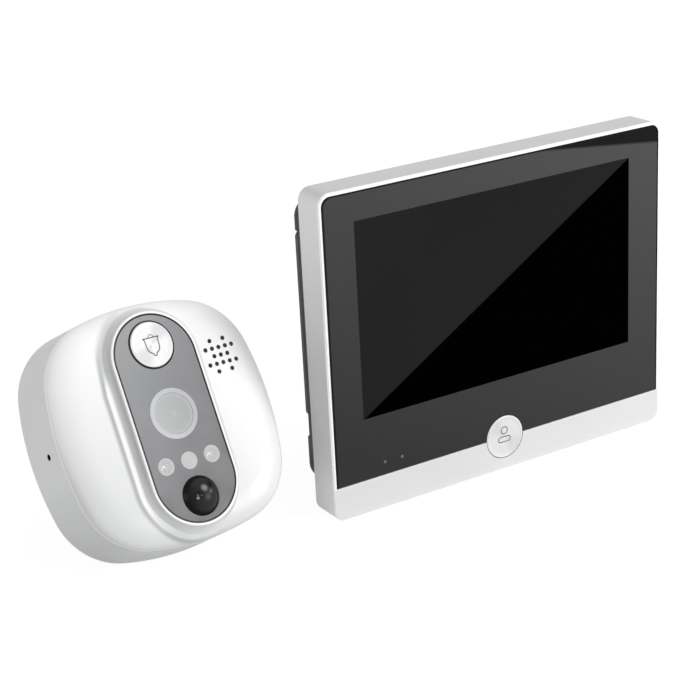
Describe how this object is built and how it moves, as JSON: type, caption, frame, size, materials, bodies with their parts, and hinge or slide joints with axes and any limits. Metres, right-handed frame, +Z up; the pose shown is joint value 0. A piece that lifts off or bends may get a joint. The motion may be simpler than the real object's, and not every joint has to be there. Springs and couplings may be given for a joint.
{
  "type": "video doorbell with monitor",
  "caption": "Indoor door monitor with dark screen and round view button, beside its outdoor door station with bell button, camera, motion sensor dome and mounting tube.",
  "frame": {"origin": "centre of the bottom face of the monitor's front frame, on the floor that both units stand on", "axes": "+X to the right along the monitor seen from its front, +Y away from the viewer, +Z up"},
  "size_m": [0.1918, 0.0779, 0.0934],
  "materials": {
    "silver_frame": "satin",
    "front_glass": "gloss",
    "black_tape": "matte",
    "display_layers": "gloss",
    "display_tray": "satin",
    "pale_button": "satin",
    "switch_black": "matte",
    "circuit_board": "satin",
    "light_guide": "gloss",
    "dark_housing": "matte",
    "bracket_steel": "satin",
    "screw_steel": "satin",
    "battery_foil": "satin",
    "shield_metal": "satin",
    "socket_plastic": "matte",
    "port_metal": "satin",
    "speaker_black": "matte",
    "capsule_metal": "satin",
    "white_shell": "satin",
    "silver_shell": "satin",
    "grey_panel": "satin",
    "pale_ring": "satin",
    "pale_window": "gloss",
    "camera_black": "matte",
    "lens_glass": "gloss",
    "lamp_plastic": "gloss",
    "dome_black": "gloss",
    "sensor_metal": "satin",
    "soft_rubber": "matte",
    "tube_metal": "satin"
  },
  "bodies": {
    "housings": {"monitor_front_frame": "silver_frame", "monitor_glass": "front_glass", "glass_adhesive": "black_tape", "lcd_panel": "display_layers", "lcd_chassis": "display_tray", "view_switch_body": "switch_black", "button_board": "circuit_board", "indicator_light_left": "light_guide", "indicator_light_right": "light_guide", "monitor_rear_housing": "dark_housing", "housing_screws": "screw_steel", "monitor_main_board": "circuit_board", "board_screws": "screw_steel", "battery_pack": "battery_foil", "processor_shield": "shield_metal", "ribbon_socket": "socket_plastic", "usb_port": "port_metal", "card_slot": "port_metal", "power_switch_body": "switch_black", "monitor_speaker": "speaker_black", "monitor_microphone": "capsule_metal", "station_front_cover": "white_shell", "station_rear_base": "silver_shell", "face_panel": "grey_panel", "bell_switch_body": "switch_black", "camera_trim_ring": "pale_ring", "camera_window": "pale_window", "camera_module": "camera_black", "camera_lens_barrel": "camera_black", "camera_lens": "lens_glass", "infrared_window_left": "pale_window", "infrared_window_right": "pale_window", "infrared_led_left": "lamp_plastic", "infrared_led_right": "lamp_plastic", "light_sensor_guide": "pale_window", "light_sensor": "switch_black", "pir_dome": "dome_black", "pir_sensor": "sensor_metal", "station_speaker": "speaker_black", "microphone_boot": "soft_rubber", "station_microphone": "capsule_metal", "station_main_board": "circuit_board", "station_screws": "screw_steel", "mounting_tube": "tube_metal", "rear_gasket": "soft_rubber"},
    "view_button_body": {"view_button": "pale_button", "view_switch_plunger": "switch_black"},
    "bell_button_body": {"bell_button": "pale_button", "bell_switch_plunger": "switch_black"},
    "bracket_body": {"wall_bracket": "bracket_steel"},
    "power_switch_knob": {"power_switch_slider": "switch_black"}
  },
  "joints": [
    {"name": "view_press", "type": "slide", "parent": "housings", "child": "view_button_body", "axis": [0, 1, 0], "range_m": [0, 0.0006], "stiffness_N_per_m": 400, "springref_m": -0.0004},
    {"name": "bell_press", "type": "slide", "parent": "housings", "child": "bell_button_body", "axis": [-0.0774, 0.867, -0.4923], "range_m": [0, 0.0006], "stiffness_N_per_m": 400, "springref_m": -0.0004},
    {"name": "bracket_release", "type": "slide", "parent": "housings", "child": "bracket_body", "axis": [0, 0, -1], "range_m": [0, 0.006]},
    {"name": "power_slide", "type": "slide", "parent": "housings", "child": "power_switch_knob", "axis": [0, 0, -1], "range_m": [0, 0.002]}
  ]
}
